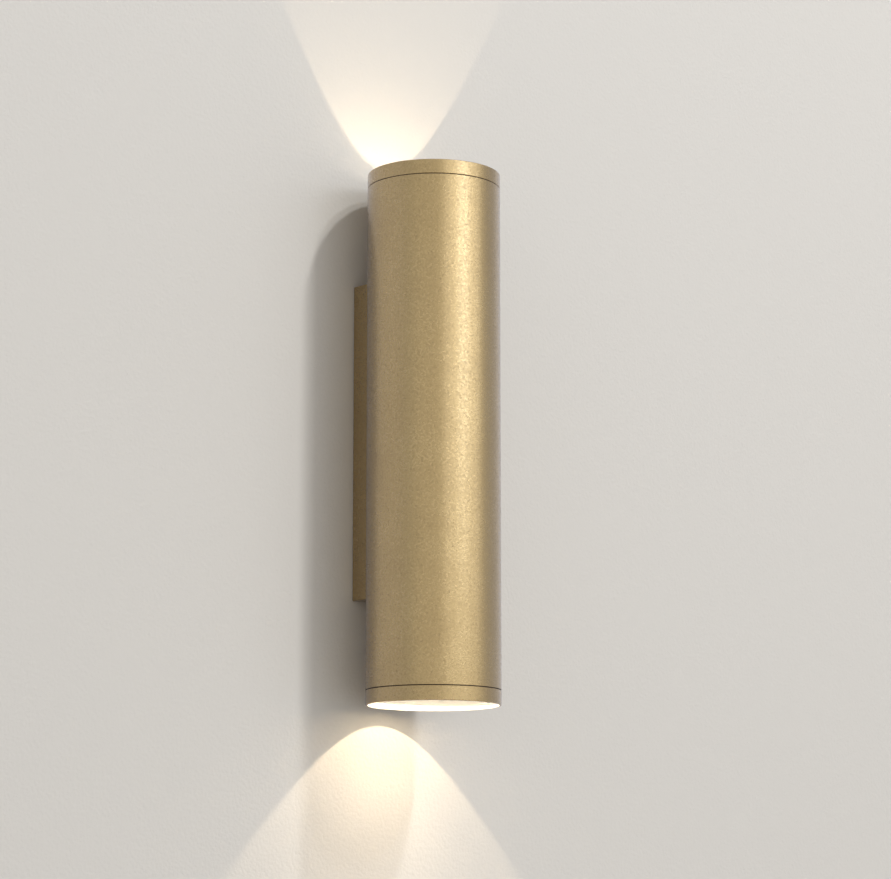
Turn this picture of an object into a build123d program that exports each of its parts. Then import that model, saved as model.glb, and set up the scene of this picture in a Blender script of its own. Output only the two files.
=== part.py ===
from build123d import *
from math import sqrt
import os

# Wall light: one vertical tube that shines up and down, held off the wall by a back box.
# Millimetres. Origin at the centre of the wall bracket's wall face, +Z up, the room at -Y.
# Every piece of an end is drawn for the upper end and turned half way round for the lower.

# ---- Outside
overall_h = 300.0        # over both end rings
tube_d = 75.0
tube_wall = 2.0
tube_standoff = 7.0      # wall to the back of the tube
end_band_h = 8.0         # visible band of an end ring
rim_wall = 1.3           # end ring at the mouth
seal_t = 0.5             # joint between ring and tube
box_w = 43.0
box_h = 180.0
box_wall = 2.0           # sides, top and bottom of the back box
box_edge_r = 0.6         # its four outer corners
cradle_t = 1.5           # web of the back box that cradles the tube
lug_t = 1.5              # thickening round a locking screw

# ---- Clearances
free_gap = 0.3           # between pieces that move past each other
fit_gap = 0.1            # radial, ring skirt in the tube
thread_gap = 0.05        # radial, screw in its thread
slip_gap = 0.25          # radial, screw through a plain hole
edge_gap = 0.3           # back box to the wall

# ---- Ends
skirt_l = 8.0            # ring's threaded part inside the tube
skirt_wall = 1.5
ledge_t = 1.5            # lip that the glass is pushed against
ledge_w = 1.9            # how far it overlaps the glass
gasket_t = 0.8
glass_t = 3.0
clip_t = 1.0             # spring clip behind the glass
clip_bite = 0.6          # into the skirt
clip_w = 2.3
clip_open = 9.0          # gap between the clip's ends
bevel = 0.3

# ---- Lamps
lamp_recess = 45.5       # mouth to the lamp's front
lamp_d = 50.0
lamp_l = 51.7            # without pins
lamp_neck_d = 28.0
lens_d = 44.0
lens_t = 3.0
lens_gap = 0.2
rib_count = 12
rib_slot = 3.0
pin_pitch = 10.0
pin_d = 3.0
pin_head_d = 5.0
pin_head_h = 2.4
twist = 30.0             # from locked to free, degrees

# ---- Lampholders
holder_l = 30.0
holder_w = 20.0
holder_h = 18.0
face_t = 2.2             # over the pin chambers
floor_t = 4.0            # under them
holder_screw_pitch = 20.0
holder_screw_d = 3.0
holder_screw_head_d = 5.5
holder_screw_head_h = 2.0
holder_recess = 3.0      # counterbore for the screw head
nut_flats = 5.5
nut_h = 2.4
contact_w = 4.0
contact_l = 3.2
contact_t = 0.8
keyway_gap = 0.2         # pin neck in its slot

# ---- Chassis
strip_w = 24.0
sheet_t = 1.5
bend_r = 1.0
foot_past = 7.0          # chassis foot beyond its screw
box_screw_pitch = 140.0
box_screw_d = 4.0
box_screw_head_d = 7.6
box_screw_head_h = 2.0
bush_d = 7.0
bush_flange_d = 11.0
bush_flange_t = 2.5
screw_proud = 0.5        # screw end past its bush

# ---- Terminal block and leads
block_l = 15.0
block_w = 15.5
block_h = 12.0
block_ear_w = 4.4
block_ear_h = 3.0
block_screw_d = 2.5
block_screw_head_d = 4.2
block_screw_head_h = 1.6
clamp_w = 3.2
clamp_l = 9.0
clamp_h = 8.4
clamp_gap = 0.2
cable_core_d = 2.8
lead_d = 1.8
lead_rows = 5.0          # between the two lead holes of a pole
lead_bend = 4.0
earth_rise = 20.0        # lead hole to the earth screw
eyelet_d = 7.0
eyelet_t = 0.8
barrel_d = 3.4
barrel_l = 5.0
earth_screw_head_d = 5.6
earth_screw_head_h = 2.0

# ---- Wall bracket
plate_w = 34.0
plate_t = 2.0
ear_w = 14.0
relief_w = 2.0
fix_pitch = 100.0
fix_slot_l = 9.0
fix_slot_w = 5.0
window_w = 26.0          # way from the wall into the tube
window_h = 60.0
window_r = 4.0
window_step = 1.0        # back box's window is larger than the tube's
grommet_bore = 8.0
grommet_wall = 2.0
grommet_flange = 2.0
grommet_flange_t = 1.2
earth_z = 22.0
earth_d = 4.0
earth_head_d = 7.2
earth_head_h = 2.0
washer_d = 9.0
washer_t = 0.8
lock_screw_d = 3.0
hex_flats = 1.5

# ---- Places that follow from them (heights are for the upper end)
tube_r = tube_d / 2
bore_r = tube_r - tube_wall
axis_y = -(tube_standoff + tube_r)
mouth_z = overall_h / 2
shoulder_z = mouth_z - end_band_h
tube_end_z = shoulder_z - seal_t
skirt_r = bore_r - fit_gap
skirt_in_r = skirt_r - skirt_wall
ledge_z = tube_end_z
glass_r = skirt_in_r - free_gap
opening_r = skirt_in_r - ledge_w
gasket_z = ledge_z - gasket_t
glass_z = gasket_z - glass_t
clip_z = glass_z - clip_t
lens_face_z = mouth_z - lamp_recess
lamp_base_z = lens_face_z - lamp_l
holder_face_z = lamp_base_z - free_gap
tab_z = holder_face_z - holder_h
tab_in_z = tab_z - sheet_t
pin_r = pin_pitch / 2
chamber_z = tab_z + floor_t
pin_head_z = holder_face_z - face_t - free_gap
spine_y = -(holder_l / 2 + sheet_t)
foot_y = sqrt(bore_r**2 - (strip_w / 2) ** 2) - fit_gap
foot_end_z = box_screw_pitch / 2 + foot_past
cradle_r = tube_r + fit_gap
web_r = cradle_r + cradle_t
block_y = holder_screw_pitch / 2 + nut_flats / 2 + 2 * free_gap + block_l / 2 + 1.8
row_z = -tab_in_z + block_h / 2
box_in_z = box_h / 2 - box_wall
lug_z = box_in_z - lug_t
ear_z = lug_z - free_gap
ear_y = axis_y + web_r + free_gap
lock_y = ear_y / 2 - plate_t / 4


def lathe(*points):
    """A turned piece about the tube's axis, from (radius, height) points."""
    outline = Plane.XZ * make_face(Polyline(*points, close=True))
    return Pos(0, axis_y, 0) * revolve(outline, Axis.Z)


def ring(r_out, r_in, z0, z1):
    """A flat or tubular ring about the tube's axis."""
    return lathe((r_in, z0), (r_out, z0), (r_out, z1), (r_in, z1))


def along_y(d, y0, y1, x=0.0, z=0.0):
    """A cylinder along Y between two distances behind the tube's axis."""
    return Pos(x, axis_y + (y0 + y1) / 2, z) * Rot(90, 0, 0) * Cylinder(d / 2, abs(y1 - y0))


def along_z(d, z0, z1, x=0.0, y=0.0):
    """A cylinder along Z, placed from the tube's axis."""
    return Pos(x, axis_y + y, (z0 + z1) / 2) * Cylinder(d / 2, abs(z1 - z0))


def block(x, y, z):
    """A box between pairs of limits, y counted from the tube's axis."""
    size = [abs(b - a) for a, b in (x, y, z)]
    return Pos(sum(x) / 2, axis_y + sum(y) / 2, sum(z) / 2) * Box(*size)


def prism(sketch, z0, z1):
    """A sketch about the tube's axis, extruded between two heights."""
    return Pos(0, axis_y, z0) * extrude(sketch, z1 - z0)


def lower(shape):
    """The lower end's copy of an upper piece, turned half way round, so threads keep their hand."""
    return Rot(0, 180, 0) * shape


def both(shape):
    return shape + lower(shape)


def lead(*points):
    """An insulated lead through points that are placed from the tube's axis."""
    path = FilletPolyline(*[(x, axis_y + y, z) for x, y, z in points], radius=lead_bend)
    return sweep(Plane(origin=path @ 0, z_dir=path % 0) * Circle(lead_d / 2), path)


parts = {}

# ---- Body tube: a window at the back for the supply cable, two holes for the back box's screws
tube = ring(tube_r, bore_r, -tube_end_z, tube_end_z)
behind = Plane((0, axis_y, 0), x_dir=(1, 0, 0), z_dir=(0, 1, 0))
window = extrude(behind * RectangleRounded(window_w, window_h, window_r), 2 * tube_r)
screw_holes = both(along_y(box_screw_d + 2 * slip_gap, 0, 2 * tube_r, z=box_screw_pitch / 2))
parts["body_tube"] = tube - window - screw_holes

# ---- Back box: open to the wall, its front is a web that cradles the tube
box_outer = block((-box_w / 2, box_w / 2), (0, -axis_y - edge_gap), (-box_h / 2, box_h / 2))
box_outer = fillet(box_outer.edges().filter_by(Axis.Y), box_edge_r)
in_w = box_w / 2 - box_wall
hollow = block((-in_w, in_w), (0, -axis_y), (-box_in_z, box_in_z))
hollow -= along_z(2 * web_r, -box_in_z, box_in_z)
lug = block((-ear_w / 2, ear_w / 2), (0, -axis_y - 2 * edge_gap), (lug_z, box_in_z))
box_window = RectangleRounded(
    window_w + 2 * window_step, window_h + 2 * window_step, window_r + window_step
)
back_box = box_outer - hollow + both(lug)
back_box -= along_z(2 * cradle_r, -box_h, box_h)
back_box -= extrude(behind * box_window, 2 * tube_r) + screw_holes
lock_hole = along_z(lock_screw_d + 2 * thread_gap, lug_z - 1, mouth_z, y=lock_y - axis_y)
back_box -= both(lock_hole)
parts["back_box"] = back_box

# ---- Screws and threaded bushes that hold the box and the chassis to the tube
bush_back = sqrt(bore_r**2 - (bush_d / 2) ** 2) - thread_gap
foot_front = foot_y - sheet_t
bush_front = foot_front - bush_flange_t
bush_z = box_screw_pitch / 2
bush = along_y(bush_flange_d, bush_front, foot_front, z=bush_z)
bush += along_y(bush_d, foot_front, bush_back, z=bush_z)
bush -= along_y(box_screw_d + 2 * thread_gap, bush_front, bush_back, z=bush_z)
parts["threaded_bushes"] = both(bush)
box_screw = along_y(box_screw_d, bush_front - screw_proud, web_r, z=bush_z)
box_screw += along_y(box_screw_head_d, web_r, web_r + box_screw_head_h, z=bush_z)
box_screw -= along_y(
    box_screw_head_d / 4, web_r + box_screw_head_h / 2, web_r + box_screw_head_h, z=bush_z
)
parts["box_screws"] = both(box_screw)

# ---- Chassis: one folded strip, foot - tab - spine - tab - foot
side = [
    (foot_y, foot_end_z, 0),
    (foot_y, tab_in_z, bend_r + sheet_t),
    (spine_y + sheet_t, tab_in_z, bend_r),
    (spine_y, tab_z, bend_r + sheet_t),
    (foot_front, tab_z, bend_r),
    (foot_front, foot_end_z, 0),
]
order = [side[0], side[1], side[2]]
order += [(y, -z, r) for y, z, r in reversed(order)]
order += [(y, -z, r) for y, z, r in reversed(side[3:])]
order += side[3:]
strip = make_face(Polyline(*[(axis_y + y, z) for y, z, _ in order], close=True))
for y, z, r in order:
    if r:
        corner = strip.vertices().sort_by_distance((axis_y + y, z, 0))[0]
        strip = fillet(corner, r)
chassis = extrude(Plane.YZ * strip, strip_w / 2, both=True)
tab_holes = along_z(holder_screw_d + 2 * slip_gap, tab_in_z, tab_z, y=holder_screw_pitch / 2)
tab_holes += along_z(holder_screw_d + 2 * slip_gap, tab_in_z, tab_z, y=-holder_screw_pitch / 2)
tab_holes += along_z(lead_d + 1, tab_in_z, tab_z, x=pin_r)
tab_holes += along_z(lead_d + 1, tab_in_z, tab_z, x=-pin_r)
tab_holes += along_y(bush_d + 2 * thread_gap, foot_front, foot_y, z=bush_z)
chassis -= both(tab_holes)
block_ear_x = block_w / 2 + block_ear_w / 2
lead_z = row_z + lead_rows / 2
earth_screw_z = lead_z + earth_rise
spine_front = spine_y + sheet_t
for x in (-block_ear_x, block_ear_x):
    chassis -= along_z(block_screw_d + 2 * thread_gap, -tab_z, -tab_in_z, x=x, y=block_y)
chassis -= along_y(holder_screw_d + 2 * thread_gap, spine_y, spine_front, z=earth_screw_z)
parts["chassis"] = chassis

# ---- Lampholders: two keyways over pin chambers, screwed to the tabs from in front
holder = prism(Rot(0, 0, 90) * SlotOverall(holder_l, holder_w), tab_z, holder_face_z)
holder = chamfer(holder.edges().group_by(Axis.Z)[-1], 0.8)
contact = Polyline(
    (pin_r + contact_l / 2, chamber_z),
    (pin_r - contact_l / 2, chamber_z),
    (pin_r - contact_l / 2, pin_head_z - pin_head_h - free_gap),
    (pin_r + contact_l / 2, pin_head_z - pin_head_h - free_gap),
    (pin_r + contact_l / 2, pin_head_z - pin_head_h - free_gap - contact_t),
    (pin_r - contact_l / 2 + contact_t, pin_head_z - pin_head_h - free_gap - contact_t),
    (pin_r - contact_l / 2 + contact_t, chamber_z + contact_t),
    (pin_r + contact_l / 2, chamber_z + contact_t),
    close=True,
)
contact = extrude(Plane.XZ * make_face(contact), contact_w / 2, both=True)
holder_contacts = Part()
for turn in (0, 180):
    about = Pos(0, axis_y, 0) * Rot(0, 0, turn)
    run = CenterArc((0, 0), pin_r, turn, twist)
    neck = SlotArc(run, pin_d + 2 * keyway_gap)
    room = SlotArc(run, pin_head_d + 4 * keyway_gap)
    entry = Rot(0, 0, turn + twist) * Pos(pin_r, 0) * Circle(pin_head_d / 2 + keyway_gap)
    holder -= prism(neck + entry, holder_face_z - face_t, holder_face_z)
    holder -= prism(room, chamber_z, holder_face_z - face_t)
    holder -= about * Pos(pin_r, 0, tab_z) * Cylinder(
        lead_d / 2 + thread_gap, 2 * floor_t
    )
    seat_y = holder_screw_pitch / 2 * (1 if turn else -1)
    holder -= along_z(holder_screw_d + 2 * slip_gap, tab_z, holder_face_z, y=seat_y)
    holder -= along_z(
        holder_screw_head_d + 2 * slip_gap, holder_face_z - holder_recess, holder_face_z, y=seat_y
    )
    holder_contacts += about * contact
parts["top_lampholder"] = holder
parts["bottom_lampholder"] = lower(holder)
parts["top_holder_contacts"] = holder_contacts
parts["bottom_holder_contacts"] = lower(holder_contacts)

head_z = holder_face_z - holder_recess
holder_screws = Part()
holder_nuts = Part()
for y in (-holder_screw_pitch / 2, holder_screw_pitch / 2):
    screw = along_z(holder_screw_d, tab_in_z - nut_h - screw_proud, head_z, y=y)
    screw += along_z(holder_screw_head_d, head_z, head_z + holder_screw_head_h, y=y)
    screw -= block((-0.4, 0.4), (y - holder_screw_head_d, y + holder_screw_head_d),
                   (head_z + holder_screw_head_h / 2, head_z + holder_screw_head_h))
    holder_screws += both(screw)
    nut = Pos(0, y) * (
        RegularPolygon(nut_flats / 2, 6, major_radius=False)
        - Circle(holder_screw_d / 2 + thread_gap)
    )
    holder_nuts += both(prism(nut, tab_in_z - nut_h, tab_in_z))
parts["holder_screws"] = holder_screws
parts["holder_nuts"] = holder_nuts

# ---- Terminal block on the lower tab, its cable side towards the window
floor_z = -tab_in_z
front_y, rear_y = block_y - block_l / 2, block_y + block_l / 2
terminal = block((-block_w / 2, block_w / 2), (front_y, rear_y), (floor_z, floor_z + block_h))
terminal = chamfer(terminal.edges().group_by(Axis.Z)[-1], 0.6)
terminal += block(
    (-block_w / 2 - block_ear_w, block_w / 2 + block_ear_w),
    (block_y - block_ear_w, block_y + block_ear_w),
    (floor_z, floor_z + block_ear_h),
)
terminal_screws = Part()
for x in (-block_ear_x, block_ear_x):
    top = floor_z + block_ear_h
    terminal -= along_z(block_screw_d + 2 * thread_gap, floor_z, top, x=x, y=block_y)
    screw = along_z(block_screw_d, -tab_z, top, x=x, y=block_y)
    terminal_screws += screw + along_z(
        block_screw_head_d, top, top + block_screw_head_h, x=x, y=block_y
    )
clamps = Part()
low_z, high_z = row_z - lead_rows / 2, lead_z
for x in (-pin_r, 0, pin_r):
    core = along_y(cable_core_d, block_y, rear_y, x=x, z=row_z)
    ways = [along_y(lead_d + 2 * thread_gap, front_y, block_y, x=x, z=high_z)]
    if x:
        ways.append(along_y(lead_d + 2 * thread_gap, front_y, block_y, x=x, z=low_z))
    clamp = block(
        (x - clamp_w / 2, x + clamp_w / 2),
        (block_y - clamp_l / 2, block_y + clamp_l / 2),
        (row_z - clamp_h / 2, row_z + clamp_h / 2),
    )
    reach = clamp_l / 2 + clamp_gap
    pocket = block(
        (x - clamp_w / 2 - clamp_gap, x + clamp_w / 2 + clamp_gap),
        (block_y - reach, block_y + reach),
        (row_z - clamp_h / 2 - clamp_gap, row_z + clamp_h / 2 + clamp_gap),
    )
    for cut in [core] + ways:
        clamp -= cut
        terminal -= cut
    terminal -= pocket
    clamps += clamp
parts["terminal_block"] = terminal
parts["terminal_screws"] = terminal_screws
parts["terminal_clamps"] = clamps

# ---- Leads: each pole feeds both holders, the middle pole goes to the earth screw on the spine
for name, x in (("live_leads", -pin_r), ("neutral_leads", pin_r)):
    down = lead((x, block_y, low_z), (x, 0, low_z), (x, 0, -chamber_z))
    up = lead((x, block_y, high_z), (x, 0, high_z), (x, 0, chamber_z))
    parts[name] = down + up
eyelet_front = spine_front + eyelet_t
barrel_y = spine_front + barrel_d / 2
barrel_top = earth_screw_z - eyelet_d / 2
parts["earth_lead"] = lead(
    (0, block_y, high_z), (0, barrel_y, high_z), (0, barrel_y, barrel_top - barrel_l / 2)
)
eyelet = along_y(eyelet_d, spine_front, eyelet_front, z=earth_screw_z)
eyelet += block((-1.2, 1.2), (spine_front, eyelet_front), (barrel_top - barrel_l, earth_screw_z))
eyelet += along_z(barrel_d, barrel_top - barrel_l, barrel_top, y=barrel_y)
eyelet -= along_z(
    lead_d + 2 * thread_gap, barrel_top - barrel_l, barrel_top - barrel_l / 2, y=barrel_y
)
eyelet -= along_y(holder_screw_d + 2 * thread_gap, spine_front, eyelet_front, z=earth_screw_z)
parts["earth_eyelet"] = eyelet
chassis_earth = along_y(holder_screw_d, spine_y - screw_proud, eyelet_front, z=earth_screw_z)
parts["chassis_earth_screw"] = chassis_earth + along_y(
    earth_screw_head_d, eyelet_front, eyelet_front + earth_screw_head_h, z=earth_screw_z
)

# ---- End rings: band flush with the tube, skirt inside it, ledge for the glass
rim_r = tube_r - rim_wall
groove_r = skirt_in_r + clip_bite
end_ring = lathe(
    (rim_r, mouth_z),
    (tube_r - bevel, mouth_z),
    (tube_r, mouth_z - bevel),
    (tube_r, shoulder_z + bevel / 2),
    (tube_r - bevel / 2, shoulder_z),
    (skirt_r, shoulder_z),
    (skirt_r, shoulder_z - skirt_l),
    (skirt_in_r, shoulder_z - skirt_l),
    (skirt_in_r, clip_z - fit_gap),
    (groove_r, clip_z - fit_gap),
    (groove_r, glass_z),
    (skirt_in_r, glass_z),
    (skirt_in_r, ledge_z),
    (opening_r, ledge_z),
    (opening_r, ledge_z + ledge_t),
    (rim_r, ledge_z + ledge_t),
)
seal = ring(tube_r - bevel, skirt_r + thread_gap, tube_end_z, shoulder_z)
gasket = ring(glass_r, opening_r + free_gap, gasket_z, ledge_z)
glass = lathe(
    (0, glass_z), (glass_r - bevel, glass_z), (glass_r, glass_z + bevel),
    (glass_r, gasket_z - bevel), (glass_r - bevel, gasket_z), (0, gasket_z),
)
clip_r = groove_r - thread_gap
clip = ring(clip_r, clip_r - clip_w, clip_z, glass_z)
clip -= block((-clip_open / 2, clip_open / 2), (0, tube_r), (clip_z, glass_z))
for x in (-clip_open / 2, clip_open / 2):
    foot = along_z(2 * clip_w, clip_z, glass_z, x=1.5 * x, y=sqrt(clip_r**2 - clip_open**2) - clip_w)
    clip += foot - along_z(clip_w, clip_z, glass_z, x=1.5 * x,
                           y=sqrt(clip_r**2 - clip_open**2) - clip_w)

# ---- Lamps: ribbed body, front lens and two headed pins
neck_r = lamp_neck_d / 2
lamp_r = lamp_d / 2
flare = [
    (lamp_r - (lamp_r - neck_r) * (1 - t) ** 1.7, lamp_base_z + lamp_l * (0.26 + 0.62 * t))
    for t in (0, 0.3, 0.6, 1.0)
]
lamp = lathe(
    (0, lamp_base_z),
    (neck_r - 2, lamp_base_z),
    (neck_r, lamp_base_z + 2),
    *flare,
    (lamp_r, lens_face_z - 0.8),
    (lamp_r - 0.8, lens_face_z),
    (lens_d / 2 + lens_gap, lens_face_z),
    (lens_d / 2 + lens_gap, lens_face_z - lens_t),
    (0, lens_face_z - lens_t),
)
slot_z = (flare[0][1] + 2, flare[-1][1] - 3)
slots = Part()
for i in range(rib_count):
    cut = Pos(neck_r + lamp_r / 2 - 1, 0, sum(slot_z) / 2) * Box(
        lamp_r, rib_slot, slot_z[1] - slot_z[0]
    )
    slots += Rot(0, 0, (i + 0.5) * 360 / rib_count) * cut
lamp -= Pos(0, axis_y, 0) * (slots - Pos(0, 0, lamp_base_z) * Cone(
    neck_r - 4, lamp_r + 1, 2 * lamp_l
))
lens = lathe(
    (0, lens_face_z - lens_t),
    (lens_d / 2, lens_face_z - lens_t),
    (lens_d / 2, lens_face_z - lens_t / 2),
    (lens_d / 3, lens_face_z - lens_t / 4),
    (0, lens_face_z),
)
pins = Part()
for x in (-pin_r, pin_r):
    pins += along_z(pin_d, pin_head_z - pin_head_h, lamp_base_z, x=x) + along_z(
        pin_head_d, pin_head_z - pin_head_h, pin_head_z, x=x
    )

for name, piece in (
    ("ring", end_ring), ("seal", seal), ("glass_gasket", gasket), ("glass", glass),
    ("glass_clip", clip), ("lamp_body", lamp), ("lamp_lens", lens), ("lamp_pins", pins),
):
    parts["top_" + name] = piece
    parts["bottom_" + name] = lower(piece)

# ---- Wall bracket: plate with two slotted holes, its ends turned out into ears
plate_z = ear_z - plate_t - relief_w
bracket = Pos(0, -plate_t / 2, 0) * Box(plate_w, plate_t, 2 * plate_z)
bracket = fillet(bracket.edges().filter_by(Axis.Y), 4)
bracket += Pos(0, -plate_t / 2, 0) * Box(ear_w, plate_t, 2 * ear_z)
bracket += both(Pos(0, ear_y / 2, ear_z - plate_t / 2) * Box(ear_w, -ear_y, plate_t))
bends = [e for e in bracket.edges().filter_by(Axis.X)
         if abs(e.center().Y) < 0.01 and abs(abs(e.center().Z) - ear_z) < 0.01]
bracket = fillet(bends, bend_r + 0.5)
fix_slot = Rot(0, 0, 90) * SlotOverall(fix_slot_l, fix_slot_w)
through = Plane((0, 0, 0), x_dir=(1, 0, 0), z_dir=(0, -1, 0))
for z in (-fix_pitch / 2, fix_pitch / 2):
    bracket -= extrude(through * (Pos(0, z) * fix_slot), plate_t)
sleeve_d = grommet_bore + 2 * grommet_wall
bracket -= Pos(0, -plate_t / 2, 0) * Rot(90, 0, 0) * Cylinder(sleeve_d / 2, plate_t)
bracket -= along_y(earth_d + 2 * thread_gap, -axis_y - plate_t, -axis_y, z=earth_z)
parts["wall_bracket"] = bracket

plate_front = -axis_y - plate_t
grommet = along_y(sleeve_d, plate_front, -axis_y)
grommet += along_y(sleeve_d + 2 * grommet_flange, plate_front - grommet_flange_t, plate_front)
grommet -= along_y(grommet_bore, plate_front - grommet_flange_t, -axis_y)
parts["cable_grommet"] = grommet
washer_front = plate_front - washer_t
washer = along_y(washer_d, washer_front, plate_front, z=earth_z)
washer -= along_y(earth_d + 2 * thread_gap, washer_front, plate_front, z=earth_z)
parts["bracket_earth_washer"] = washer
earth_screw = along_y(earth_d, washer_front, -axis_y - edge_gap, z=earth_z)
earth_screw += along_y(earth_head_d, washer_front - earth_head_h, washer_front, z=earth_z)
parts["bracket_earth_screw"] = earth_screw

# ---- Locking screws: headless, through the lugs, their ends on the bracket's ears
lock_screw = along_z(lock_screw_d, ear_z, box_h / 2 - free_gap, y=lock_y - axis_y)
hex_key = Pos(0, lock_y - axis_y) * RegularPolygon(hex_flats / 2, 6, major_radius=False)
lock_screw -= prism(hex_key, box_h / 2 - free_gap - hex_flats, box_h / 2)
parts["lock_screws"] = both(lock_screw)

for name, shape in parts.items():
    export_step(shape, f"parts/{name}.step")
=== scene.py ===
import math

import bpy
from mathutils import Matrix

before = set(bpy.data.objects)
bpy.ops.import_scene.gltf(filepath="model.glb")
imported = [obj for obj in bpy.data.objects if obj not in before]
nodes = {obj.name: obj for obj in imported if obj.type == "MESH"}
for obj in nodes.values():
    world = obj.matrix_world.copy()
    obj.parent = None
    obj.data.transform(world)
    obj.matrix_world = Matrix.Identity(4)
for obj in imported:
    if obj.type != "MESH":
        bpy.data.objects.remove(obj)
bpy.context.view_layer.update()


# ---- Wall bracket and chassis
# Both are cold-rolled steel sheet, punched and folded, then zinc plated. The bracket is screwed to
# the wall, and the chassis stands inside the tube and carries the lampholders.

mm = 0.001


def per_mm(size):
    """The scale of a pattern whose features are this many millimetres across."""
    return 1 / (size * mm)


def linear(code):
    """An sRGB hex colour as the linear RGBA that a socket takes."""
    parts = [int(code[i:i + 2], 16) / 255 for i in (1, 3, 5)]
    return [c / 12.92 if c <= 0.04045 else ((c + 0.055) / 1.055) ** 2.4 for c in parts] + [1.0]


def outlet(source):
    """The socket that a value comes from, which is the first output if the source is a node."""
    return source.outputs[0] if isinstance(source, bpy.types.Node) else source


def add(tree, kind, inputs=None, stops=(), **settings):
    """A shader node; each input is a value or what feeds it, and the stops fill a colour ramp."""
    made = tree.nodes.new("ShaderNode" + kind)
    for key, value in settings.items():
        setattr(made, key, value)
    for key, value in (inputs or {}).items():
        if isinstance(value, (bpy.types.Node, bpy.types.NodeSocket)):
            tree.links.new(outlet(value), made.inputs[key])
        else:
            made.inputs[key].default_value = value
    for number, (place, code) in enumerate(stops):
        line = made.color_ramp.elements
        stop = line[number] if number < len(line) else line.new(place)
        stop.position = place
        stop.color = linear(code)
    return made


def feed(tree, node, **sources):
    """Links inputs of a node to what feeds them."""
    for key, source in sources.items():
        tree.links.new(outlet(source), node.inputs[key.replace("_", " ")])


def finish(name, **values):
    """A new material; returns it, its tree, its shader and the place on the piece, in metres."""
    made = bpy.data.materials.new(name)
    made.use_nodes = True
    tree = made.node_tree
    shader = tree.nodes["Principled BSDF"]
    for key, value in values.items():
        shader.inputs[key.replace("_", " ")].default_value = value
    return made, tree, shader, add(tree, "TexCoord").outputs["Object"]


def dress(made, *names):
    """Gives CAD nodes a finish."""
    for name in names:
        nodes[name].material_slots[0].material = made


# Zinc plate is a cool, half-dull grey. The rolling of the sheet shows through it as fine streaks,
# 0.5 mm wide and 8 mm long, and handling leaves soft stains of about 9 mm.
streak_width, streak_length = 0.5, 8
zinc, tree, shader, place = finish("zinc_plated_steel_sheet", Metallic=1.0)
drawn_out = (1, 1, streak_width / streak_length)
along = add(tree, "VectorMath", {0: place, 1: drawn_out}, operation="MULTIPLY")
rolled = add(tree, "TexNoise", {"Vector": along, "Scale": per_mm(streak_width), "Detail": 3.0})
stains = add(tree, "TexNoise", {"Vector": place, "Scale": per_mm(9), "Detail": 4.0})
mixed = add(tree, "Mix", {"Factor": 0.5, 2: rolled, 3: stains})
tone = add(tree, "ValToRGB", {"Fac": mixed},
           stops=((0.36, "#A6ABB0"), (0.5, "#B9BEC2"), (0.64, "#C9CDD0")))
rough = add(tree, "MapRange", {"Value": mixed, "From Min": 0.35, "From Max": 0.65,
                               "To Min": 0.48, "To Max": 0.32})
relief = add(tree, "Bump", {"Height": rolled, "Distance": 0.03 * mm})
feed(tree, shader, Base_Color=tone, Roughness=rough, Normal=relief)
dress(zinc, "wall_bracket", "chassis")


# ---- Cable grommet and the seals of both end rings
# Moulded black rubber. The grommet snaps into the bracket's cable hole, and each seal fills the
# joint between an end ring and the tube, where it shows as a dark hairline.

# Rubber is matt, with the fine grain of its mould. Its black is its own; the brown tint all over is
# painted warm light from the brass beside the seal joints, lighter in flecks of the grain.
rubber, tree, shader, place = finish("moulded_black_rubber", Roughness=0.72)
grain = add(tree, "TexNoise", {"Vector": place, "Scale": per_mm(0.5), "Detail": 4.0})
tone = add(tree, "ValToRGB", {"Fac": grain}, stops=((0.3, "#20170F"), (0.8, "#3A2A1C")))
relief = add(tree, "Bump", {"Height": grain, "Distance": 0.05 * mm})
feed(tree, shader, Base_Color=tone, Normal=relief)
dress(rubber, "cable_grommet", "top_seal", "bottom_seal")


# ---- Screws, nuts, bushes, washers and lamp pins
# Turned or cold-headed. Most are steel with a nickel plate; the earth screws, the terminal's clamps
# and the lampholders' contacts are bare brass. The screws hold the back box, the lampholders and the
# terminal block, and clamp the light to its bracket.

# Nickel plate is bright and slightly warm, and a little duller in its low spots.
plated, tree, shader, place = finish("nickel_plated_steel", Metallic=1.0)
grain = add(tree, "TexNoise", {"Vector": place, "Scale": per_mm(0.8), "Detail": 4.0})
tone = add(tree, "ValToRGB", {"Fac": grain}, stops=((0.3, "#A8A49C"), (0.7, "#C9C6BF")))
rough = add(tree, "MapRange", {"Value": grain, "To Min": 0.2, "To Max": 0.4})
feed(tree, shader, Base_Color=tone, Roughness=rough)
dress(plated, "box_screws", "threaded_bushes", "holder_screws", "holder_nuts", "terminal_screws",
      "earth_eyelet", "bracket_earth_washer", "lock_screws", "top_lamp_pins", "bottom_lamp_pins")

# Bare brass is a clear yellow, brighter than the aged outside of the light.
bare_brass, tree, shader, place = finish("bare_turned_brass", Metallic=1.0)
grain = add(tree, "TexNoise", {"Vector": place, "Scale": per_mm(1.0), "Detail": 4.0})
tone = add(tree, "ValToRGB", {"Fac": grain}, stops=((0.3, "#B58E4E"), (0.7, "#D8B676")))
rough = add(tree, "MapRange", {"Value": grain, "To Min": 0.22, "To Max": 0.42})
feed(tree, shader, Base_Color=tone, Roughness=rough)
dress(bare_brass, "bracket_earth_screw", "chassis_earth_screw", "terminal_clamps",
      "top_holder_contacts", "bottom_holder_contacts")


# ---- Body tube, back box and end rings
# Solid brass: a drawn tube, a cast and milled box, two turned rings that screw into the tube. All
# were blasted with fine grit, darkened with an ageing liquid, rubbed back and sealed with a thin lacquer.

tube_y = -44.5 * mm
skirt_r = 35.4 * mm
lining_r = 36.35 * mm  # 0.15 mm more than the mouth's radius, so that it takes in the whole inside
thread_pitch = 1.5


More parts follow.
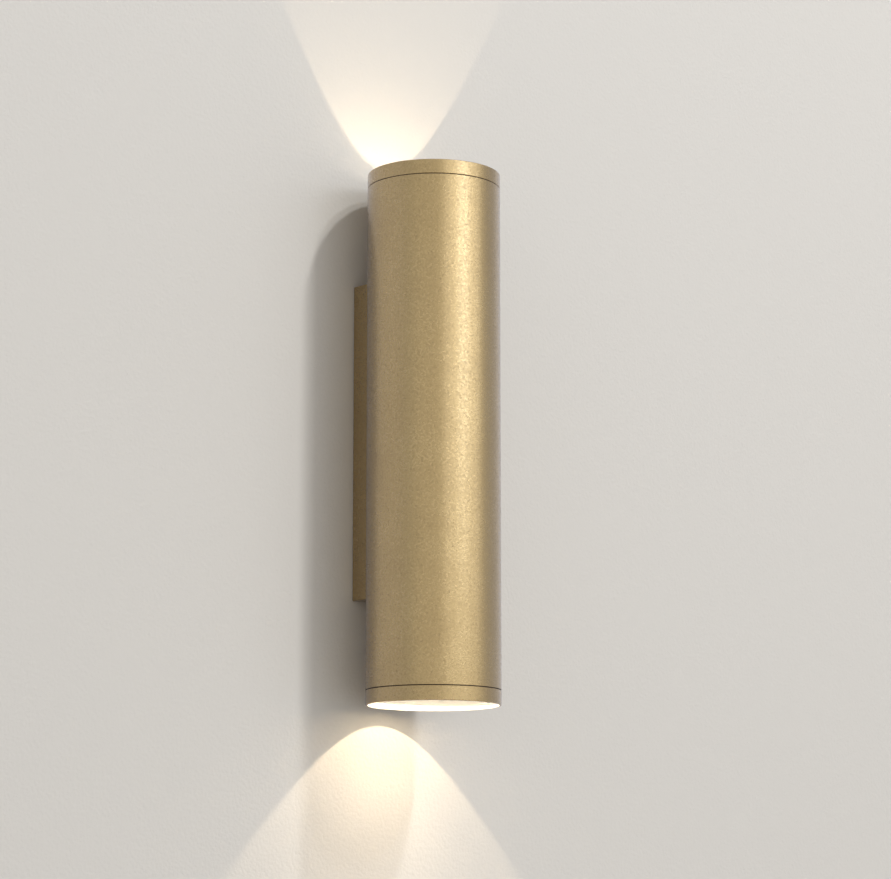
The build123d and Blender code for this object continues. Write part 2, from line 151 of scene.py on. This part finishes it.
def from_axis(tree, place):
    """The place as seen along the tube, and its distance from the tube's axis."""
    centred = add(tree, "VectorMath", {0: place, 1: (0, -tube_y, 0)}, operation="ADD")
    across = add(tree, "VectorMath", {0: centred, 1: (1, 1, 0)}, operation="MULTIPLY").outputs[0]
    return across, add(tree, "VectorMath", {0: across}, operation="LENGTH").outputs["Value"]


def aged_brass(name):
    """Aged brass; returns the material, its tree, its shader, the place on the piece and the relief."""
    brass, tree, shader, place = finish(name, Metallic=1.0, Coat_Weight=0.8, Coat_Roughness=0.22,
                                        Coat_IOR=1.5)
    # Wide soft clouds, 25 mm across, are where the liquid took more or less, and the grit's mottle
    # is about 1 mm.
    clouds = add(tree, "TexNoise", {"Vector": place, "Scale": per_mm(25), "Detail": 3.0})
    mottle = add(tree, "TexNoise", {"Vector": place, "Scale": per_mm(1.2), "Detail": 3.0,
                                    "Roughness": 0.6})
    both = add(tree, "Mix", {"Factor": 0.75, 2: clouds, 3: mottle})
    tone = add(tree, "ValToRGB", {"Fac": both},
               stops=((0.34, "#B59A69"), (0.5, "#BFA471"), (0.66, "#C8AD7A")))
    gloss = add(tree, "MapRange", {"Value": both, "From Min": 0.35, "From Max": 0.65,
                                   "To Min": 0.36, "To Max": 0.24})
    # The blasted grain, 1.3 mm across and finer. Its pits are duller, the deepest kept brown
    # tarnish, and its relief breaks the edges of a highlight into dark and bright grains.
    pits = add(tree, "TexNoise", {"Vector": place, "Scale": per_mm(1.3), "Detail": 4.0,
                                  "Roughness": 0.65})
    tarnish = add(tree, "MapRange", {"Value": pits, "From Min": 0.59, "From Max": 0.67, "To Max": 0.28})
    aged = add(tree, "Mix", {"Factor": tarnish, 6: tone, 7: linear("#6B5333")}, data_type="RGBA")
    flecks = add(tree, "MapRange", {"Value": pits, "From Min": 0.55, "From Max": 0.6})
    dulling, sinking = 0.1, -0.25
    rough = add(tree, "Math", {0: flecks, 1: dulling, 2: gloss}, operation="MULTIPLY_ADD")
    ground = add(tree, "Math", {0: flecks, 1: sinking, 2: pits}, operation="MULTIPLY_ADD")
    relief = add(tree, "Bump", {"Height": ground, "Distance": 0.08 * mm})
    feed(tree, shader, Base_Color=aged.outputs[2], Roughness=rough, Normal=relief)
    return brass, tree, shader, place, relief


dress(aged_brass("aged_blasted_brass")[0], "body_tube", "back_box")

# The rings are the same brass outside, with a right-hand thread of 1.5 mm pitch round their skirts,
# and white stove enamel inside, so that they don't tint the light.
ring_finish, tree, shader, place, relief = aged_brass("aged_brass_enamelled_inside")
across, radius = from_axis(tree, place)
sides = add(tree, "SeparateXYZ", {0: across})
angle = add(tree, "Math", {0: sides.outputs["Y"], 1: sides.outputs["X"]}, operation="ARCTAN2")
turns = add(tree, "Math", {0: angle, 1: -math.tau}, operation="DIVIDE")
height = add(tree, "SeparateXYZ", {0: place}).outputs["Z"]
climb = add(tree, "Math", {0: height, 1: per_mm(thread_pitch), 2: turns}, operation="MULTIPLY_ADD")
thread = add(tree, "Math", {0: climb, 1: 0.5}, operation="PINGPONG")
on_skirt = add(tree, "Math", {0: radius, 1: skirt_r, 2: 0.1 * mm}, operation="COMPARE")
cut = add(tree, "Math", {0: thread, 1: on_skirt}, operation="MULTIPLY")
threaded = add(tree, "Bump", {"Height": cut, "Distance": 1 * mm, "Normal": relief})
feed(tree, shader, Normal=threaded)
within = add(tree, "Math", {0: radius, 1: lining_r}, operation="LESS_THAN")
lined = add(tree, "Math", {0: within, 1: on_skirt}, operation="SUBTRACT")
enamel = add(tree, "BsdfPrincipled", {"Base Color": linear("#F0EEE9"), "Roughness": 0.4})
both_sides = add(tree, "MixShader", {0: lined, 1: shader, 2: enamel})
feed(tree, tree.nodes["Material Output"], Surface=both_sides)
dress(ring_finish, "top_ring", "bottom_ring")


# ---- Lampholders
# Pressed steatite, fired and glazed, one screwed to each tab of the chassis. Two curved keyways in
# its face take the lamp's pins.

# The glaze is hard and glossy over a cool white body, and a little uneven, in waves of about 4 mm.
glaze, tree, shader, place = finish("glazed_white_steatite", Roughness=0.22, IOR=1.52,
                                    Coat_Weight=0.6, Coat_Roughness=0.08)
waves = add(tree, "TexNoise", {"Vector": place, "Scale": per_mm(4), "Detail": 4.0})
tone = add(tree, "ValToRGB", {"Fac": waves}, stops=((0.3, "#E4E0D6"), (0.7, "#F1EEE7")))
relief = add(tree, "Bump", {"Height": waves, "Distance": 0.03 * mm})
feed(tree, shader, Base_Color=tone, Normal=relief)
dress(glaze, "top_lampholder", "bottom_lampholder")


# ---- Terminal block and lamp bodies
# Injection-moulded white polyamide for the block, which takes the supply cable, and for the ribbed
# heat sinks of the lamps.

# The mould was spark-eroded, which leaves a half-dull face with a grain of about 0.4 mm.
moulded, tree, shader, place = finish("moulded_white_polyamide", Roughness=0.5, IOR=1.53)
grain = add(tree, "TexNoise", {"Vector": place, "Scale": per_mm(0.4), "Detail": 2.0})
tone = add(tree, "ValToRGB", {"Fac": grain}, stops=((0.3, "#DCDAD2"), (0.7, "#EAE8E1")))
relief = add(tree, "Bump", {"Height": grain, "Distance": 0.02 * mm})
feed(tree, shader, Base_Color=tone, Normal=relief)
dress(moulded, "terminal_block", "top_lamp_body", "bottom_lamp_body")


# ---- Leads
# Fine stranded copper in extruded silicone sleeves: brown, blue, and green with a yellow stripe.
# They run from the terminal block to the lampholders and to the chassis's earth screw.

# Silicone is matt, with soft streaks of its extrusion; the earth lead has sharp stripes instead.
for name, first, second, striped, blend in (
    ("live_leads", "#4A2A17", "#5E3A22", False, 0.15),
    ("neutral_leads", "#1D3F86", "#2A539F", False, 0.15),
    ("earth_lead", "#3C7A2E", "#D9C531", True, 0.01),
):
    sleeve, tree, shader, place = finish(name + "_silicone_sleeve", Roughness=0.6)
    if striped:
        streaks = add(tree, "TexWave", {"Vector": place, "Scale": per_mm(8), "Distortion": 0.0},
                      bands_direction="X").outputs["Fac"]
    else:
        streaks = add(tree, "TexNoise", {"Vector": place, "Scale": per_mm(1.5)})
    tone = add(tree, "ValToRGB", {"Fac": streaks}, stops=((0.5 - blend, first), (0.5 + blend, second)))
    feed(tree, shader, Base_Color=tone)
    dress(sleeve, name)


# ---- Lamp lenses
# Clear acrylic, moulded with a field of small facets over warm white diodes, and snapped into the
# front of each lamp.

lens_r = 22 * mm

# Lit, the lens is white in its middle and warmer towards its rim, with a fine dimmer line between
# its facets, which are 2.4 mm across.
lens, tree, shader, place = finish("lit_faceted_acrylic", Roughness=0.15, IOR=1.49, Emission_Strength=1.6)
across, radius = from_axis(tree, place)
out = add(tree, "Math", {0: radius, 1: 1 / lens_r}, operation="MULTIPLY")
facets = add(tree, "TexVoronoi", {"Vector": across, "Scale": per_mm(2.4)},
             feature="DISTANCE_TO_EDGE").outputs["Distance"]
lines = add(tree, "MapRange", {"Value": facets, "From Max": 0.3, "To Min": 0.62, "To Max": 1.0})
warmth = add(tree, "ValToRGB", {"Fac": out},
             stops=((0.0, "#FFFBF2"), (0.55, "#FFF3DF"), (0.85, "#F2DDB8"), (1.0, "#D2BC97")))
glow = add(tree, "VectorMath", {0: warmth, "Scale": lines}, operation="SCALE")
tone = add(tree, "ValToRGB", {"Fac": facets}, stops=((0.0, "#E9DFC9"), (0.2, "#FFFFFF")))
dome = add(tree, "Bump", {"Height": facets, "Distance": 1 * mm})
feed(tree, shader, Base_Color=tone, Emission_Color=glow, Normal=dome)
dress(lens, "top_lamp_lens", "bottom_lamp_lens")


# ---- Cover glass, its gasket and its spring clip
# Toughened glass with ground edges, on a silicone gasket, held in its ring by a spring-steel clip
# that snaps into the skirt.

# Toughened glass is clear, with the faint green and the slow waves, 12 mm long, of float glass. It
# throws no shadow, so the lamp's light and the room's pass through it.
glass, tree, shader, place = finish("toughened_clear_glass", Roughness=0.02, IOR=1.5,
                                    Transmission_Weight=1.0)
haze = add(tree, "TexNoise", {"Vector": place, "Scale": per_mm(12), "Detail": 3.0})
tone = add(tree, "ValToRGB", {"Fac": haze}, stops=((0.3, "#F4FAF7"), (0.7, "#FFFFFF")))
feed(tree, shader, Base_Color=tone)
shadow = add(tree, "LightPath").outputs["Is Shadow Ray"]
clear = add(tree, "BsdfTransparent")
through = add(tree, "MixShader", {0: shadow, 1: shader, 2: clear})
feed(tree, tree.nodes["Material Output"], Surface=through)
dress(glass, "top_glass", "bottom_glass")

# Silicone is milky and soft.
silicone, tree, shader, place = finish("clear_silicone", Roughness=0.35, IOR=1.41, Transmission_Weight=0.5)
haze = add(tree, "TexNoise", {"Vector": place, "Scale": per_mm(2)})
tone = add(tree, "ValToRGB", {"Fac": haze}, stops=((0.3, "#D8D6CE"), (0.7, "#ECEAE4")))
feed(tree, shader, Base_Color=tone)
dress(silicone, "top_glass_gasket", "bottom_glass_gasket")

# Spring steel is left dark blue by its tempering, lighter where it was rubbed.
spring, tree, shader, place = finish("blued_spring_steel", Metallic=1.0)
rubbed = add(tree, "TexNoise", {"Vector": place, "Scale": per_mm(2)})
tone = add(tree, "ValToRGB", {"Fac": rubbed}, stops=((0.3, "#3B3E46"), (0.7, "#5A5F68")))
rough = add(tree, "MapRange", {"Value": rubbed, "To Min": 0.25, "To Max": 0.45})
feed(tree, shader, Base_Color=tone, Roughness=rough)
dress(spring, "top_glass_clip", "bottom_glass_clip")


# ---- Wall and floor
# A plastered wall in a warm pale grey, behind the light, and a pale floor well below it. Each shows
# only to the room, so that the back of the light can be seen.

def sheet(name, corners, faces, paint, screen=False):
    """A flat stage piece that shows from its front only; a screen shows to the camera only.

    The paint is its colour, a painted reflection tone that only the metal's reflections of it show, and
    its grit and relief in mm."""
    code, painted_reflection_tone, grit_mm, relief_mm = paint
    mesh = bpy.data.meshes.new(name)
    mesh.from_pydata(corners, [], faces)
    made = bpy.data.objects.new(name, mesh)
    bpy.context.scene.collection.objects.link(made)
    coat, tree, shader, place = finish(name + "_paint", Roughness=0.9)
    grit = add(tree, "TexNoise", {"Vector": place, "Scale": per_mm(grit_mm), "Detail": 5.0})
    relief = add(tree, "Bump", {"Height": grit, "Distance": relief_mm * mm})
    ray = add(tree, "LightPath")
    # Rays sent from a glossy surface see the painted reflection tone instead of the paint's colour.
    tone = add(tree, "Mix", {"Factor": ray.outputs["Is Glossy Ray"], 6: linear(code),
                             7: linear(painted_reflection_tone)}, data_type="RGBA")
    feed(tree, shader, Base_Color=tone.outputs[2], Normal=relief)
    unseen = add(tree, "NewGeometry").outputs["Backfacing"]
    if screen:
        others = add(tree, "Math", {0: 1.0, 1: ray.outputs["Is Camera Ray"]}, operation="SUBTRACT")
        unseen = add(tree, "Math", {0: unseen, 1: others}, operation="MAXIMUM")
    hidden = add(tree, "BsdfTransparent")
    one_side = add(tree, "MixShader", {0: unseen, 1: shader, 2: hidden})
    feed(tree, tree.nodes["Material Output"], Surface=one_side)
    mesh.materials.append(coat)


def rectangle(left, right, low, high):
    """The corners of an upright rectangle in the wall's plane."""
    return [(left, wall_y, low), (right, wall_y, low), (right, wall_y, high), (left, wall_y, high)]


# Each paint gives its colour, then a painted reflection tone that the metal shows in its place (cooler for
# the wall, warmer for the floor), then grit and relief in mm.
plaster = "#D2CEC7", "#CACBD3", 2.0, 0.25
boards = "#D8D4CE", "#BDB19D", 3.0, 0.2
reach, floor_z = 3.0, -0.95
wall_y = 0.4 * mm
gap_x, gap_z = 19.4 * mm, 88 * mm
edge = rectangle(-reach, reach, floor_z, reach)
gap = rectangle(-gap_x, gap_x, -gap_z, gap_z)
sheet("wall", edge + gap, [(0, 1, 5, 4), (1, 2, 6, 5), (2, 3, 7, 6), (3, 0, 4, 7)], plaster)
# Behind the bracket the wall lets light through to the bracket's back.
sheet("wall_behind_bracket", gap, [(0, 1, 2, 3)], plaster, screen=True)
floor_corners = [(-reach, -reach, floor_z), (reach, -reach, floor_z), edge[1], edge[0]]
sheet("floor", floor_corners, [(0, 1, 2, 3)], boards)


# ---- Light from the lamps
# Each lamp throws a warm white cone that the rim of its mouth cuts off, which draws the bright
# wedge on the wall. The weaker, wider cones are the light that the lens scatters.

for name, up, power, width, soft, tilt, forward, height in (
    ("top_beam", 1, 0.41, 55.6, 0.06, 10.8, 0, 106 * mm),
    ("bottom_beam", -1, 0.44, 72, 1.0, 3.5, 8 * mm, 105 * mm),
    ("bottom_spill", -1, 0.54, 120, 0.3, 0, 8 * mm, 105 * mm),
    ("top_spill", 1, 0.02, 120, 0.3, 0, 0, 106 * mm),
):
    light = bpy.data.lights.new(name, "SPOT")
    light.energy = power
    light.color = linear("#FFE8C5")[:3]
    light.spot_size = math.radians(width)
    light.spot_blend = soft
    light.shadow_soft_size = 1.5 * mm
    made = bpy.data.objects.new(name, light)
    made.location = (0, tube_y - forward, up * height)
    made.rotation_euler = (math.radians(180 - tilt if up > 0 else tilt), 0, 0)
    bpy.context.scene.collection.objects.link(made)


# ---- Studio light and camera
# Two small lights high on the right draw the wall light's shadow, a wide low window with a brighter
# strip in it draws the streak down the tube, and a pale surround fills the rest. The camera looks
# up from the left through a long lens, as the photograph was taken.

def softbox(name, azimuth, elevation, distance, width, height, power, code="#FFFFFF"):
    """A soft light that faces the wall light; azimuth is to the right of the wall's normal."""
    light = bpy.data.lights.new(name, "AREA")
    light.shape = "RECTANGLE"
    light.size = width
    light.size_y = height
    light.energy = power
    light.color = linear(code)[:3]
    made = bpy.data.objects.new(name, light)
    made.visible_camera = False
    az, el = math.radians(azimuth), math.radians(elevation)
    level = distance * math.cos(el)
    made.location = (level * math.sin(az), tube_y - level * math.cos(az), distance * math.sin(el))
    made.rotation_euler = (math.pi / 2 - el, 0, az)
    bpy.context.scene.collection.objects.link(made)


softbox("key_light", 19.5, 52, 3.2, 0.19, 0.19, 36)
softbox("second_light", 14.3, 43.7, 3.2, 0.19, 0.19, 16)
softbox("window", 10.8, 15, 3.2, 4.15, 1.07, 14.6, "#F4F8FF")
softbox("strip", 11.4, 18.3, 3.0, 1.1, 0.92, 6.2, "#DDE8FF")

# The surround is palest in a wide band at the light's own height, and a little darker and cooler at
# its left and right ends.
world = bpy.data.worlds.new("surround")
world.use_nodes = True
tree = world.node_tree
way = add(tree, "SeparateXYZ", {0: add(tree, "TexCoord").outputs["Generated"]})
level = add(tree, "MapRange", {"Value": way.outputs["Z"], "From Min": -1.0})
aside = add(tree, "MapRange", {"Value": way.outputs["X"], "From Min": -1.0})
band = add(tree, "ValToRGB", {"Fac": level},
           stops=((0.25, "#949494"), (0.46, "#DADADA"), (0.62, "#DADADA"), (0.85, "#909090")))
ends = add(tree, "ValToRGB", {"Fac": aside},
           stops=((0.0, "#D8DCE2"), (0.05, "#FFFFFF"), (0.3, "#FFFFFF"), (0.55, "#F2F2F2"),
                  (0.84, "#F2F2F2"), (0.94, "#D0D4E3")))
both = add(tree, "Mix", {"Factor": 1.0, 6: band, 7: ends}, data_type="RGBA", blend_type="MULTIPLY")
surround = tree.nodes["Background"]
surround.inputs["Strength"].default_value = 1.12
feed(tree, surround, Color=both.outputs[2])
scene = bpy.context.scene
scene.world = world
scene.view_settings.view_transform = "Standard"

upward, rightward = 10.018, 41.438
camera = bpy.data.cameras.new("camera")
camera.lens = 116.99
camera.sensor_width = 36.0
eye = bpy.data.objects.new("camera", camera)
eye.location = (-1.0483, -1.2420, -0.2827)
eye.rotation_euler = (math.radians(90 + upward), 0, -math.radians(rightward))
scene.collection.objects.link(eye)
scene.camera = eye
